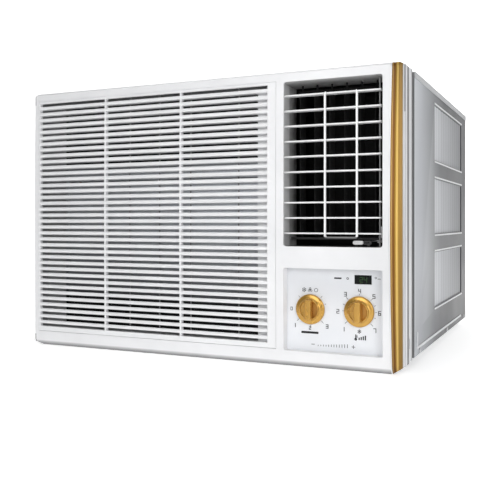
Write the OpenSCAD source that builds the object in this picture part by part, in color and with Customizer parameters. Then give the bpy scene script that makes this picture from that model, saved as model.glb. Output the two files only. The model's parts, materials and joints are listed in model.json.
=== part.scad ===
// Room air conditioner of the through-the-window kind, built as an assembly.
// Millimetres. X runs left to right across the front, the front faces -Y, Z is up.
// The origin is the centre of the footprint, on the surface the unit stands on.

/* [Overall] */
// Width over the front panel
body_w = 640; // [560:1:720]
// Height over the front panel
body_h = 430; // [400:1:460]
// Depth from the front panel's crest to the rear grille
body_d = 574; // [540:1:700]
// How far the front panel's middle stands ahead of its top and bottom edges
crown = 2; // [0:0.5:6]
// Thickness of the moulded front panel
panel_t = 3; // [2:0.25:4]
// Thickness of the cabinet's steel sheet
sheet_t = 1.2; // [0.8:0.1:2]

/* [Intake grille] */
// Distance between neighbouring slats
slat_pitch = 10.16; // [8:0.02:14]
// Number of slats
slat_count = 37; // [20:1:45]
// Height of the open gap between two slats
slat_gap = 4.9; // [3:0.1:6]
// Radius of the hinge rail along the grille's top edge
hinge_rail_r = 3; // [2.75:0.25:4]
// Radius of the grille's hinge pins
hinge_pin_r = 1.8; // [1.5:0.1:2]

/* [Air outlet] */
// Number of horizontal deflector blades
blade_count = 10; // [4:1:10]
// Front-to-back width of a horizontal blade
blade_chord = 14; // [10:0.5:18]
// Thickness of a horizontal blade
blade_t = 2.3; // [2:0.1:3.5]
// Number of vertical vanes behind the blades
vane_count = 6; // [4:1:6]
// Front-to-back width of a vertical vane
vane_chord = 24; // [16:1:26]
// Radius of the small pivot pins of blades and vanes
pivot_r = 1.5; // [1:0.1:2]
// Radial running clearance of every small pivot
running = 0.06; // [0.02:0.01:0.1]

/* [Controls] */
// Outer radius of a control knob
knob_r = 22; // [16:0.5:26]
// How far a knob stands out of the control plate
knob_h = 16; // [12:0.5:17]
// Radius of a control spindle
spindle_r = 3; // [2.5:0.1:4]

/* [Cabinet] */
// Height of the rubber feet under the base pan
foot_h = 12; // [5:0.5:15]
// Number of stacked vent banks in each side
bank_count = 3; // [1:1:3]
// Number of upright louvres in a bank
louvre_count = 12; // [6:1:16]

/* [Cooling parts] */
// Height of the fan shaft above the surface the unit stands on
shaft_z = 222; // [200:1:240]
// Sideways position of the fan shaft
shaft_x = -70; // [-100:1:-40]
// Radius of the fan shaft
shaft_r = 6; // [4:0.5:8]
// Radius of the blower wheel
wheel_r = 100; // [80:1:110]
// Radius of the rear fan over its blades
fan_r = 146; // [120:1:155]
// Radius of the compressor's shell
comp_r = 62; // [50:1:75]

/* [Hidden] */

$fn = 48;

hw = body_w / 2;
y_crest = -body_d / 2;
y_back = body_d / 2;
mid_z = body_h / 2;

// Front panel and collar, front to back
panel_rear = y_crest + 31;
collar_front = panel_rear + 11;
collar_rear = collar_front + 14;
step_rear = collar_rear + 15;
undercut_h = 8.5;
undercut_d = 4;
top_bevel_h = 3;
top_bevel_d = 2;

// Corners cut off the front panel's outline: along the edge, up the side
cut_low_left = [15, 4.5];
cut_low_right = [18, 12];
cut_high_left = [5, 4];
cut_high_right = [8, 4];

// Corner trim: width at its ends, extra width at its middle, thickness
trim_w = 19.7;
trim_bulge = 3;
trim_t = 1.8;

// Intake bay
bay_left = -hw + 8;
bay_right = 129.7;
bay_low = 23.4;
bay_high = 418.6;
seam = 0.5;
lip_gap = 0.5;
field_left = -hw + 11.4;
field_right = 115.8;
first_gap_z = 34.1;
hinge_z = bay_high - 0.1 - lip_gap - hinge_rail_r;
hinge_y = y_front(hinge_z) + hinge_rail_r;
flange_y = y_crest + 25;
filter_x = [-265, -82, 101];

// Outlet bay
out_left = 141.5;
out_right = 289;
out_low = 174.5;
out_high = 415;
duct_left = 137.5;
duct_right = 287.5;
duct_rear = -222;
blade_left = 141.2;
blade_right = 284.9;
blade_z0 = 193.5;
blade_pitch = 22.47;
blade_y = -271;
link_arm = 6.5;
link_x = [202.6, 250];
link_w = 2.6;
link_pin_r = 0.7;
rib_x = 278;
vane_x0 = 156;
vane_pitch = 23;
vane_y = -243;
vane_low = 190;
vane_high = 405;
vane_arm = 9;
vent_z = 180.4;
vent_x = 240.7;
knob_len = 15.3;
track_len = 26.7;

// Controls
rec_low = 22;
rec_high = 143;
plate_y = -271;
knob_z = 82.7;
mode_x = 178.4;
temp_x = 251.7;

// Cabinet
side_x = hw - 2;
casing_low = foot_h;
casing_high = body_h - 1.5;
bank_y0 = -58;
bank_len = 286;
bank_h = 90;
bank_z0 = 70;
bank_pitch = 121;
pan_z = foot_h;
screw_y = [-180, 60, 260];
screw_z = casing_low + 5.5;

// Cooling parts
bulk_y = -104;
evap_low = 98;
evap_high = 316;
cond_y = 222;
comp_x = 215;
comp_y = 70;

function y_front(z) = y_crest + crown * pow((z - mid_z) / mid_z, 2);
function crown_line(z0, z1, inset, n = 16) =
    [for (i = [0 : n]) let (z = z0 + (z1 - z0) * i / n) [y_front(z) + inset, z]];

// How far a cut corner runs along both edges once the outline has shrunk by t
function cut_at(c, t) = let (len = norm(c)) [c.x + t * (len - c.x) / c.y, c.y + t * (len - c.y) / c.x];
function flip(pts) = [for (i = [len(pts) - 1 : -1 : 0]) pts[i]];
function blade_z(i) = blade_z0 + blade_pitch * (i - 1);
function vane_x(i) = vane_x0 + vane_pitch * (i - 1);

// A side profile in (y, z) drawn out along X
module along_x(x0, x1) {
    translate([x0, 0, 0]) rotate([90, 0, 90]) linear_extrude(x1 - x0) children();
}

// A rod or bore along X, Y or Z
module rod_x(x0, x1, y, z, r) {
    translate([x0, y, z]) rotate([0, 90, 0]) cylinder(h = x1 - x0, r = r);
}

module rod_y(x, y0, y1, z, r) {
    translate([x, y0, z]) rotate([-90, 0, 0]) cylinder(h = y1 - y0, r = r);
}

module rod_z(x, y, z0, z1, r) {
    translate([x, y, z0]) cylinder(h = z1 - z0, r = r);
}

// A box given by its two corners
module block(a, b) {
    translate(a) cube(b - a);
}

// An upright rectangle with round corners, drawn from y0 back to y1
module window(x0, x1, z0, z1, r, y0, y1) {
    plate_xz(y0, y1) {
        translate([x0 + r, z0]) square([x1 - x0 - 2 * r, z1 - z0]);
        translate([x0, z0 + r]) square([x1 - x0, z1 - z0 - 2 * r]);
        for (x = [x0 + r, x1 - r], z = [z0 + r, z1 - r]) translate([x, z]) circle(r);
    }
}

// A front-view outline in (x, z), drawn from y0 back to y1
module plate_xz(y0, y1) {
    translate([0, y1, 0]) rotate([90, 0, 0]) linear_extrude(y1 - y0) children();
}

// Pipe through a list of points: straight runs with ball elbows
module pipe(pts, r) {
    for (i = [0 : len(pts) - 2]) {
        d = pts[i + 1] - pts[i];
        run = norm(d);
        translate(pts[i]) rotate([0, acos(d.z / run), atan2(d.y, d.x)])
            cylinder(h = run, r = r, $fn = 24);
    }
    for (i = [1 : len(pts) - 2]) translate(pts[i]) sphere(r = r * 1.15, $fn = 24);
}

// ---------- front ----------

// Front-view outline of the panel with its four cut corners, shrunk inwards by t
module panel_outline(t) {
    ll = cut_at(cut_low_left, t);
    lr = cut_at(cut_low_right, t);
    hl = cut_at(cut_high_left, t);
    hr = cut_at(cut_high_right, t);
    polygon([[-hw + ll.x, t], [hw - lr.x, t], [hw - t, lr.y], [hw - t, body_h - hr.y],
        [hw - hr.x, body_h - t], [-hw + hl.x, body_h - t], [-hw + t, body_h - hl.y], [-hw + t, ll.y]]);
}

// Solid body behind the crowned face, shrunk inwards by t
module panel_body(t) intersection() {
    along_x(-hw + t, hw - t) polygon(concat(
        [[panel_rear + t, t], [y_front(0) + undercut_d + t / 2, t]],
        crown_line(undercut_h + t / 2, body_h - top_bevel_h - t / 2, t, 24),
        [[y_front(body_h) + top_bevel_d + t / 2, body_h - t], [panel_rear + t, body_h - t]]));
    plate_xz(y_crest - 1, panel_rear + t + 1) panel_outline(t);
}

// Everything behind the panel's front wall, used to trim what stands against it
module behind_wall(gap) {
    along_x(-hw, hw) polygon(concat(crown_line(0, body_h, panel_t + gap, 24),
        [[0, body_h], [0, 0]]));
}

// Space kept for the corner trim, larger than it by g. Its left edge bows out at
// mid height, and its edge on the panel's side runs back towards the top.
module trim_space(g) {
    bow = [for (i = [0 : 16]) let (z = body_h * i / 16, u = (z - mid_z) / mid_z)
        [hw - trim_w - trim_bulge * (1 - u * u) - g, z]];
    side = [for (i = [0 : 16]) let (z = undercut_h + (body_h - undercut_h) * i / 16,
        u = max(0, (z - mid_z) / mid_z)) [y_front(z) + trim_t + 0.1 + g + 2.4 * u * u, z]];
    difference() {
        intersection() {
            plate_xz(y_crest - 1, y_crest + 12) polygon(concat(bow, [[hw + 1, body_h], [hw + 1, 0]]));
            along_x(hw - trim_w - trim_bulge - 1, hw + 1) polygon(concat([[y_crest - 1, -1],
                [y_front(0) + undercut_d + trim_t + g, -1]], side, [[y_crest - 1, body_h + 1]]));
        }
        panel_body(trim_t + g);
    }
}

module front_panel() color("white") difference() {
    union() {
        difference() {
            panel_body(0);
            panel_body(panel_t);
            block([bay_left, y_crest - 1, bay_low], [bay_right, flange_y - 4, hinge_z]);
            rod_x(bay_left, bay_right, hinge_y, hinge_z, hinge_rail_r + lip_gap);
            window(out_left, out_right, out_low, out_high, 4, y_crest - 1, plate_y - 1);
            window(out_left, out_right, rec_low, rec_high, 3, y_crest - 1, plate_y - 1);
            for (s = [-1, 1]) block([s * hw - 1.5, y_crest + 17.5, -1],
                [s * hw + 1.5, y_crest + 21.5, body_h + 1]);
        }
        // rim round the intake bay, and the flange that frames the filter
        difference() {
            intersection() {
                behind_wall(-1);
                block([bay_left - 2.5, y_crest, bay_low - 2.5],
                    [bay_right + 2.5, flange_y + 2, bay_high + 2.5]);
            }
            block([bay_left, y_crest - 1, bay_low], [bay_right, flange_y, bay_high]);
            block([filter_x[0] - 2, flange_y - 1, 34], [filter_x[2] + 8, flange_y + 3, 408]);
        }
        // walls of the control recess
        intersection() {
            behind_wall(-1);
            difference() {
                block([out_left - 2.5, y_crest, rec_low - 2.5],
                    [out_right + 2.5, plate_y - 0.2, rec_high + 2.5]);
                window(out_left, out_right, rec_low, rec_high, 3, y_crest - 1, plate_y + 1);
            }
        }
        // hinge boss at the bay's left end
        block([-hw + 2, hinge_y - hinge_rail_r + 0.4, hinge_z - 5], [bay_left, hinge_y + 4, hinge_z + 9]);
    }
    rod_x(bay_left - 4, bay_left + 1, hinge_y, hinge_z, hinge_pin_r + running);
    rod_x(bay_right - 1, bay_right + 3, hinge_y, hinge_z, hinge_pin_r + running);
    trim_space(0);
    // cord notch low in the right-hand side, at the panel's rear edge
    block([hw - 5, panel_rear - 4, 32], [hw + 1, panel_rear + 1, 47]);
}

module gold_trim() color("goldenrod") intersection() {
    panel_body(0);
    trim_space(-0.05);
    // softened outer corner
    linear_extrude(body_h) polygon([[0, y_crest - 1], [hw - 3, y_crest - 1], [hw - 3, y_crest],
        [hw, y_crest + 1.8], [hw, 0], [0, 0]]);
}

// A band of the crowned face between two heights, with a given depth
module crown_band(x0, x1, z0, z1, front, back) {
    along_x(x0, x1) polygon(concat(crown_line(z0, z1, front), flip(crown_line(z0, z1, back))));
}

module slat_profile() {
    h = (slat_pitch - slat_gap) / 2;
    r = 2.2;
    polygon(concat([for (a = [180 : -22.5 : 90]) [r + r * cos(a), h - r + r * sin(a)]],
        [[10, -h + 0.2], [10, -h - 1.8], [0.8, -h], [0, -h + 0.8]]));
}

module inlet_grille() color("white") {
    low = bay_low + 0.6;
    left = bay_left + 0.4;
    right = bay_right - seam;
    field_low = first_gap_z - slat_gap / 2;
    field_high = field_low + slat_gap + slat_pitch * slat_count;
    crown_band(left, field_left, low, hinge_z, 0, 6.4);
    crown_band(field_right, right, low, hinge_z, 0, 9);
    crown_band(left, right, low, field_low, 0, 9);
    // hinge rail and its pins
    along_x(left, right) polygon([[y_front(field_high), field_high], [y_front(hinge_z), hinge_z],
        [hinge_y + hinge_rail_r, hinge_z], [hinge_y + hinge_rail_r, field_high]]);
    rod_x(left, right, hinge_y, hinge_z, hinge_rail_r);
    rod_x(left - 3, left + 1, hinge_y, hinge_z, hinge_pin_r);
    rod_x(right - 1, right + 2.4, hinge_y, hinge_z, hinge_pin_r);
    for (k = [0 : slat_count - 1]) {
        z = first_gap_z + slat_pitch * (k + 0.5);
        along_x(field_left - 1, field_right + 1) translate([y_front(z), z]) slat_profile();
    }
    // upright bars: two flush with the slats, four behind them
    for (x = [-174, -32]) crown_band(x - 1.5, x + 1.5, field_low - 1, hinge_z - 1, 0.3, 8);
    for (x = [-131, -75, -18, 65]) crown_band(x - 0.7, x + 0.7, field_low - 1, hinge_z - 1, 8.2, 10.6);
    // backing strip behind the slats' right-hand ends
    crown_band(96.6, field_right + 1, field_low - 1, field_high - 7.5, 9.8, 11);
    // clips that hold the filter frame
    for (x = [-200, 50], z = [37, 401]) block([x, y_front(z) + 6, z], [x + 8, -271.2, z + 3]);
}

module filter_frame() color("dimgray") {
    for (x = filter_x) block([x, -271, 37], [x + 5, -267.5, 404]);
    for (z = [37, 157, 278, 399]) block([filter_x[0], -271, z], [filter_x[2] + 5, -267.5, z + 5]);
}

module filter_mesh() color("black") {
    for (k = [0, 1], z = [42.3, 162.3, 283.3]) block([filter_x[k] + 5.3, -269.6, z],
        [filter_x[k + 1] - 0.3, -269, z + 114.4]);
}

// ---------- air outlet ----------

module outlet_duct() color("gray") difference() {
    union() {
        intersection() {
            behind_wall(0.1);
            difference() {
                block([duct_left - 2.5, y_crest, out_low - 2.6],
                    [duct_right + 2.5, duct_rear, out_high + 2.6]);
                block([duct_left, y_crest - 1, out_low], [duct_right, duct_rear + 1, out_high]);
            }
        }
        // upright stiffening rib behind the blades' right-hand ends
        block([rib_x, -262, out_low - 0.5], [rib_x + 1.6, -259.5, out_high + 0.5]);
        // rail for the vanes' lower pivots
        block([duct_left - 0.5, vane_y - 4, 184], [duct_right + 0.5, vane_y + 4, 187]);
        // track of the fresh-air knob, standing on the duct floor
        difference() {
            union() {
                window(vent_x, vent_x + track_len, vent_z - 2.8, vent_z + 2.8, 2.7, -264, -262);
                for (x = [3, track_len - 6]) block([vent_x + x, -264, out_low - 0.5],
                    [vent_x + x + 3, -262, vent_z - 2]);
            }
            block([vent_x + 3, -265, vent_z - 0.8], [vent_x + track_len - 3, -261, vent_z + 0.8]);
        }
    }
    for (i = [1 : blade_count]) {
        for (x = [duct_left, duct_right]) rod_x(x - 3, x + 3, blade_y, blade_z(i), pivot_r + running);
    }
    for (i = [1 : vane_count]) {
        rod_z(vane_x(i), vane_y, out_high - 1, out_high + 3, pivot_r + running);
        rod_z(vane_x(i), vane_y, 183, 188, pivot_r + running);
    }
}

module blade(i) color("white") {
    z = blade_z(i);
    difference() {
        along_x(blade_left, blade_right) translate([blade_y, z]) {
            translate([(blade_t - blade_chord) / 2, -blade_t / 2]) square([blade_chord - blade_t, blade_t]);
            for (s = [-1, 1]) translate([s * (blade_chord - blade_t) / 2, 0]) circle(blade_t / 2);
        }
        for (x = link_x) block([x - link_w / 2 - 0.5, blade_y - blade_chord, z - 3],
            [x + link_w / 2 + 0.5, blade_y - link_arm + 3.2, z + 3]);
    }
    rod_x(duct_left - 1.8, blade_left + 1, blade_y, z, pivot_r);
    rod_x(blade_right - 1, duct_right + 1.8, blade_y, z, pivot_r);
    for (x = link_x) rod_x(x - link_w / 2 - 1.2, x + link_w / 2 + 1.2, blade_y - link_arm, z, link_pin_r);
}

// U-shaped bar that gangs the blades: two uprights joined below with rounded bends
module blade_link() color("white") {
    low = blade_z(1) - 5.7;
    high = blade_z(blade_count) + 2.4;
    left = link_x[0] - link_w / 2;
    right = link_x[1] + link_w / 2;
    y = blade_y - link_arm;
    difference() {
        window(left, right, low - 1.1, high, 4, y - 1.3, y + 1.3);
        window(left + link_w, right - link_w, low + 1.1, high + 6, 1.8, y - 3, y + 3);
        for (i = [1 : blade_count], x = link_x) rod_x(x - 3, x + 3, y, blade_z(i), link_pin_r + running);
    }
}

module vane(i) color("#202020") {
    x = vane_x(i);
    translate([x, vane_y, vane_low]) linear_extrude(vane_high - vane_low) {
        translate([-1, -vane_chord / 2 + 1]) square([2, vane_chord - 2]);
        for (s = [-1, 1]) translate([0, s * (vane_chord / 2 - 1)]) circle(1);
    }
    rod_z(x, vane_y, 185, vane_low + 1, pivot_r);
    rod_z(x, vane_y, vane_low, vane_low + 4, 2.2);
    rod_z(x, vane_y, vane_high - 1, out_high + 1.8, pivot_r);
    rod_z(x, vane_y + vane_arm, vane_high - 1, vane_high + 4.5, 0.9);
}

module vane_link() color("#202020") difference() {
    block([vane_x(1) - 4, vane_y + vane_arm - 2.2, vane_high + 0.8],
        [vane_x(vane_count) + 4, vane_y + vane_arm + 2.2, vane_high + 3.3]);
    for (i = [1 : vane_count]) rod_z(vane_x(i), vane_y + vane_arm, vane_high, vane_high + 5,
        0.9 + running);
}

// Push-pull knob of the fresh-air shutter, with its neck through the track
module vent_lever() color("white") {
    window(vent_x + 0.2, vent_x + knob_len, vent_z - 2.8, vent_z + 2.8, 2.7, -268, -264.4);
    block([vent_x + 4, -264.5, vent_z - 0.5], [vent_x + 9, -258, vent_z + 0.5]);
}

// Rod and sliding shutter plate at the bulkhead
module vent_rod() color("silver") {
    rod_y(vent_x + 6.5, -258, bulk_y - 3.4, vent_z, 0.9);
    block([vent_x - 6, bulk_y - 3.5, vent_z - 4], [vent_x + 19, bulk_y - 2.3, vent_z + 22]);
}

// ---------- controls ----------

module control_plate() color("lightsteelblue") difference() {
    block([out_left - 2.4, plate_y, rec_low - 2.4], [out_right + 2.4, plate_y + 2.5, rec_high + 2.4]);
    for (x = [mode_x, temp_x]) rod_y(x, plate_y - 1, plate_y + 3, knob_z, 5.3);
    block([244.5, plate_y - 1, 121.5], [269.5, plate_y + 3, 134.5]);
}

module display_window() color("black") {
    block([244.8, plate_y - 0.6, 121.8], [269.2, plate_y + 2, 134.2]);
    block([241, plate_y + 2.6, 118], [273, plate_y + 6, 138]);
    block([250, plate_y + 1, 123], [264, plate_y + 3, 133]);
}

// Knob with round flange, inner dial and raised grip bar, bored for its spindle
module knob(x) color("goldenrod") translate([x, plate_y - 0.4, knob_z]) rotate([90, 0, 0]) difference() {
    union() {
        rotate_extrude($fn = 96) polygon([[0, 0], [knob_r - 1, 0], [knob_r, 1], [knob_r, 3],
            [knob_r - 1.5, 4.5], [knob_r * 0.72, 5], [knob_r * 0.66, 6.4], [knob_r * 0.66, 8.2],
            [knob_r * 0.6, 9], [0, 9]]);
        difference() {
            translate([-5.7, -15.5, 8]) cube([11.4, 31, knob_h - 8.4]);
            for (s = [-1, 1]) translate([s * 10.5, -16, 9]) rotate([0, s * -12, 0]) translate([-5, 0, -1])
                cube([10, 32, 12]);
        }
    }
    translate([0, 0, -1]) cylinder(h = 11, r = spindle_r + 0.03);
}

module spindle(x) color("silver") difference() {
    rod_y(x, plate_y - 9.8, plate_y + 24, knob_z, spindle_r);
    block([x - 4, plate_y - 10, knob_z + 2.2], [x + 4, plate_y - 1, knob_z + 5]);
}

// Body of a shaft-operated control: threaded neck, case and terminals
module control_case(x, w, h, d) difference() {
    union() {
        rod_y(x, plate_y + 0.4, plate_y + 8, knob_z, 5);
        rod_y(x, plate_y + 3, plate_y + 5.5, knob_z, 8);
        block([x - w / 2, plate_y + 8, knob_z - h / 2], [x + w / 2, plate_y + 8 + d, knob_z + h / 2]);
        for (s = [-0.3, 0.3], t = [-0.3, 0, 0.3])
            block([x + s * w - 3, plate_y + 7 + d, knob_z + t * h - 0.5],
                [x + s * w + 3, plate_y + 16 + d, knob_z + t * h + 0.5]);
    }
    rod_y(x, plate_y - 1, plate_y + 25, knob_z, spindle_r + running);
}

module control_box() color("silver") difference() {
    block([146, -246, 49], [300, -176, 160]);
    block([147.2, -247, 50.2], [298.8, -177.2, 158.8]);
    for (z = [60, 110]) rod_y(290, -180, -170, z, 5);
}

module circuit_board() color("darkgreen") {
    block([236, -258, 112], [292, -256.4, 142]);
    for (x = [240, 252, 264]) rod_y(x, -256.5, -246.5, 118, 3);
    block([272, -256.5, 114], [288, -247, 130]);
}

module run_capacitor() color("lightgray") {
    rod_z(272, -200, 50.3, 130, 17);
    rod_z(272, -200, 130, 133, 14);
    for (x = [266, 278]) block([x - 0.4, -203, 132], [x + 0.4, -197, 141]);
}

// ---------- cabinet ----------

// Four-sided sleeve between y0 and y1 with its outer faces inset by e
module sleeve(e, t, y0, y1) difference() {
    block([-side_x + e, y0, casing_low + e], [side_x - e, y1, casing_high - e]);
    block([-side_x + e + t, y0 - 1, casing_low + e + t], [side_x - e - t, y1 + 1, casing_high - e - t]);
}

module front_collar() color("whitesmoke") {
    sleeve(0, 1.5, collar_front, collar_rear - 0.1);
    sleeve(6, 2, panel_rear - 3, collar_front + 0.5);
    block([-side_x + 8, panel_rear - 3, casing_high - 6.5],
        [side_x - 8, collar_front + 0.5, casing_high - 1.8]);
    difference() {
        sleeve(0, 8, collar_front, collar_front + 1.5);
        block([hw - 12, collar_front - 1, 30], [hw - 3.2, collar_front + 3, 49]);
    }
    // strain-relief bush for the supply cord
    rod_y(hw - 13, collar_front - 6, collar_front + 1, 39.5, 5);
}

// One recessed bank of upright louvres, on the +X side
module bank(z) {
    pitch = bank_len / louvre_count;
    for (k = [0 : louvre_count - 1]) translate([side_x, bank_y0 + pitch * k, z - 0.5])
        linear_extrude(bank_h + 1) polygon([[-6.2, 0], [-5, 0], [-1.6, pitch - 4.5], [-1.6, pitch - 3],
            [-2.8, pitch - 3]]);
    difference() {
        block([side_x - 6, bank_y0 - 1.2, z - 1.2], [side_x, bank_y0 + bank_len + 1.2, z + bank_h + 1.2]);
        block([side_x - 7, bank_y0, z], [side_x + 1, bank_y0 + bank_len, z + bank_h]);
    }
}

// Side sheet with joggled front edge, vent banks and pressed beads
module side_sheet() {
    z0 = casing_low + 1;
    z1 = casing_high - sheet_t - 0.2;
    in = side_x - sheet_t;
    difference() {
        union() {
            block([in - 3, collar_rear, z0], [side_x - 3, step_rear + sheet_t, z1]);
            block([in - 3, step_rear, z0], [side_x, step_rear + sheet_t, z1]);
            block([in, step_rear, z0], [side_x, y_back - 4, z1]);
        }
        for (k = [0 : bank_count - 1]) {
            z = bank_z0 + bank_pitch * k;
            block([in - 1, bank_y0, z], [side_x + 1, bank_y0 + bank_len, z + bank_h]);
        }
        for (y = screw_y) rod_x(in - 1, side_x + 1, y, screw_z, 2.2);
    }
    for (k = [0 : bank_count - 1]) bank(bank_z0 + bank_pitch * k);
    // pressed beads: a lip over and under each bank, and one along the foot of the sheet
    for (k = [0 : bank_count - 1], z = [-4, bank_h + 1.5]) translate([0, 0, bank_z0 + bank_pitch * k + z])
        block([side_x - 0.2, bank_y0 - 4, 0], [side_x + 1.1, bank_y0 + bank_len + 1, 2.5]);
    block([side_x - 0.2, -199, 23], [side_x + 1.2, 216, 26.5]);
    block([side_x - 0.2, -199, 23], [side_x + 1.2, -195.5, 47]);
}

module side_right() color("lightgray") side_sheet();

module side_left() color("lightgray") mirror([1, 0, 0]) side_sheet();

module top_cover() color("lightgray") difference() {
    union() {
        block([-side_x - 1.2, step_rear, casing_high - 9], [side_x + 1.2, y_back - 4, casing_high]);
        block([-side_x + 4.5, collar_rear, casing_high - 4.2],
            [side_x - 4.5, step_rear + sheet_t, casing_high - 3]);
        block([-side_x + 4.5, step_rear, casing_high - 4.2],
            [side_x - 4.5, step_rear + sheet_t, casing_high]);
    }
    block([-side_x - 0.05, step_rear + sheet_t, casing_high - 10],
        [side_x + 0.05, y_back, casing_high - sheet_t]);
    for (s = [-1, 1]) block([s * (side_x - 2.2) - 2.3, step_rear - 1, casing_high - 10],
        [s * (side_x - 2.2) + 2.3, y_back, casing_high - sheet_t]);
    for (x = [-260, 0, 260]) rod_z(x, 270, casing_high - 3, casing_high + 1, 2.2);
}

// Perforated rear cover: outer frame with a lattice in front of the condenser
module rear_grille() color("lightgray") {
    difference() {
        block([-side_x, y_back - 3.8, casing_low + 1], [side_x, y_back - 1.4, casing_high]);
        block([-292, y_back - 5, 32], [292, y_back + 1, 404]);
        for (x = [-305, 305], z = [52, 215, 380]) rod_y(x, y_back - 5, y_back + 1, z, 2.2);
    }
    for (k = [0 : 22]) rod_x(-293, 293, y_back - 2.6, 42 + 16 * k, 1.4);
    for (x = [-180, -60, 60, 180]) block([x - 3, y_back - 3.6, 31], [x + 3, y_back - 1.6, 405]);
}

// Solid tray shape, narrower where the sides are joggled, shrunk inwards by t
module tray(t, low) {
    block([-316.4 + t, step_rear + 1.5 + t, low], [316.4 - t, y_back - 4.2 - t, pan_z + 34 + t]);
    block([-313.4 + t, collar_rear + 0.6 + t, low], [313.4 - t, step_rear + 20, pan_z + 34 + t]);
}

module base_pan() color("darkgray") difference() {
    union() {
        difference() {
            tray(0, pan_z);
            tray(sheet_t, pan_z + sheet_t);
        }
        // stiffening ribs and the drain neck
        for (y = [-120, 0, 120]) block([-290, y, pan_z + 0.5], [80, y + 10, pan_z + 3]);
        rod_z(250, 235, pan_z - 7, pan_z + 1, 9);
    }
    rod_z(250, 235, pan_z - 8, pan_z + 3, 6);
    for (x = [-260, 260], y = [-160, 160]) rod_z(x, y, pan_z - 1, pan_z + 3, 3.6);
    for (y = screw_y) rod_x(-hw, hw, y, screw_z, 2.2);
}

module feet() color("#303030") {
    for (x = [-285, 285], y = [-190, 255]) translate([x, y, 0]) rotate_extrude()
        polygon([[0, 0], [11, 0], [14, 2], [14, foot_h - 0.02], [0, foot_h - 0.02]]);
}

// Pan-head screw along -Y, -X or +X at the origin of its head seat
module screw() rotate_extrude($fn = 24)
    polygon([[0, -8], [1.9, -8], [1.9, 0.05], [4, 0.05], [3.6, 1.3], [0, 1.4]]);

module cabinet_screws() color("silver") {
    for (x = [-305, 305], z = [52, 215, 380]) translate([x, y_back - 1.4, z]) rotate([-90, 0, 0]) screw();
    for (s = [-1, 1], y = screw_y) translate([s * side_x, y, screw_z]) rotate([0, s * 90, 0]) screw();
    for (x = [-260, 0, 260]) translate([x, 270, casing_high]) screw();
}

// ---------- cooling parts ----------

// Comb of upright fins in plan: a thin spine with teeth before and behind it
function comb(x0, x1, y0, y1, pitch, t) = let (n = floor((x1 - x0) / pitch), m = (y0 + y1) / 2) concat(
    [for (k = [0 : n - 1], q = [[0, 0], [0, 1], [t, 1], [t, 0]])
        [x0 + k * pitch + q.x, q.y ? y0 : m - 0.3]],
    [[x1, m - 0.3], [x1, m + 0.3]],
    [for (k = [n - 1 : -1 : 0], q = [[t, 0], [t, 1], [0, 1], [0, 0]])
        [x0 + k * pitch + q.x, q.y ? y1 : m + 0.3]]);

// Hairpin ends on both faces of a coil: rows of U tubes at x0 and x1
module hairpins(x0, x1, y, z0, step, n, r) {
    for (k = [0 : n - 1], s = [0, 1]) translate([s ? x1 : x0, y, z0 + step * (2 * k + s + 0.5)])
        rotate([90, 0, s ? 0 : 180]) rotate([0, 0, -90]) rotate_extrude(angle = 180, $fn = 24)
            translate([step / 2, 0]) circle(r, $fn = 24);
}

module evaporator() color("silver") {
    translate([0, 0, evap_low]) linear_extrude(evap_high - evap_low)
        polygon(comb(-254.6, 103.2, -238, -206, 3.4, 0.5));
    for (x = [-256, 103]) block([x, -240, evap_low - 4], [x + 2, -204, evap_high + 4]);
}

module evaporator_tubes() color("peru") {
    hairpins(-256.1, 105.1, -230, evap_low + 6, 17, 6, 4);
    hairpins(-256.1, 105.1, -214, evap_low + 6, 17, 6, 4);
}

module condenser() color("silver") {
    translate([0, 0, 32]) linear_extrude(364) polygon(comb(-288.6, 288.2, cond_y, cond_y + 38, 4.005, 0.6));
    for (x = [-290, 288]) block([x, cond_y - 3, 24], [x + 2, cond_y + 41, 404]);
}

module condenser_tubes() color("peru") {
    hairpins(-290.1, 290.1, cond_y + 11, 40, 21, 8, 4.5);
    hairpins(-290.1, 290.1, cond_y + 28, 40, 21, 8, 4.5);
}

module compressor() color("#1c1c1c") {
    translate([comp_x, comp_y, 0]) {
        rotate_extrude($fn = 64) polygon(concat([[0, 28]],
            [for (a = [-75 : 15 : 0]) [comp_r - 18 + 18 * cos(a), 46 + 18 * sin(a)]],
            [for (a = [0 : 15 : 90]) [comp_r - 30 + 30 * cos(a), 226 + 30 * sin(a)]], [[0, 256]]));
        for (a = [90, 210, 330]) rotate([0, 0, a]) block([0, -14, 30], [comp_r + 22, 14, 33]);
        translate([0, -comp_r - 8, 170]) cube([38, 18, 50], center = true);
        rod_z(0, 0, 250, 262, 6);
    }
    // suction accumulator beside the shell
    rod_z(comp_x - 62, comp_y - 62, 60, 190, 21);
    rod_z(comp_x - 62, comp_y - 62, 190, 205, 7);
    block([comp_x - 62, comp_y - 62, 120], [comp_x - 30, comp_y - 30, 126]);
}

module compressor_mounts() color("#303030") {
    for (a = [90, 210, 330]) translate([comp_x, comp_y, 0]) rotate(a) translate([comp_r + 12, 0, 0]) {
        rod_z(0, 0, pan_z + 1.3, 29.8, 10);
        rod_z(0, 0, 33.2, 38, 6);
    }
}

module refrigerant_pipes() color("peru") {
    // discharge, liquid and suction lines
    pipe([[comp_x, comp_y, 262.2], [comp_x, comp_y, 330], [298, comp_y, 330], [298, cond_y + 6, 330]], 4);
    pipe([[298, cond_y + 6, 120], [298, 150, 120], [298, 150, 60], [298, 0, 60]], 3.5);
    pipe([[comp_x - 62, comp_y - 62, 205.2], [comp_x - 62, comp_y - 62, 300], [comp_x - 62, -92, 300],
        [comp_x - 62, -92, 150]], 5);
}

// Coiled capillary between the liquid line and the evaporator, with its tie
module capillary() color("peru") {
    for (k = [0 : 4]) translate([270, -40, 48 + 6 * k]) rotate_extrude($fn = 48)
        translate([24, 0]) circle(1.5, $fn = 16);
    block([244.8, -41.5, 45.5], [247.2, -38.5, 74.5]);
}

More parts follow.
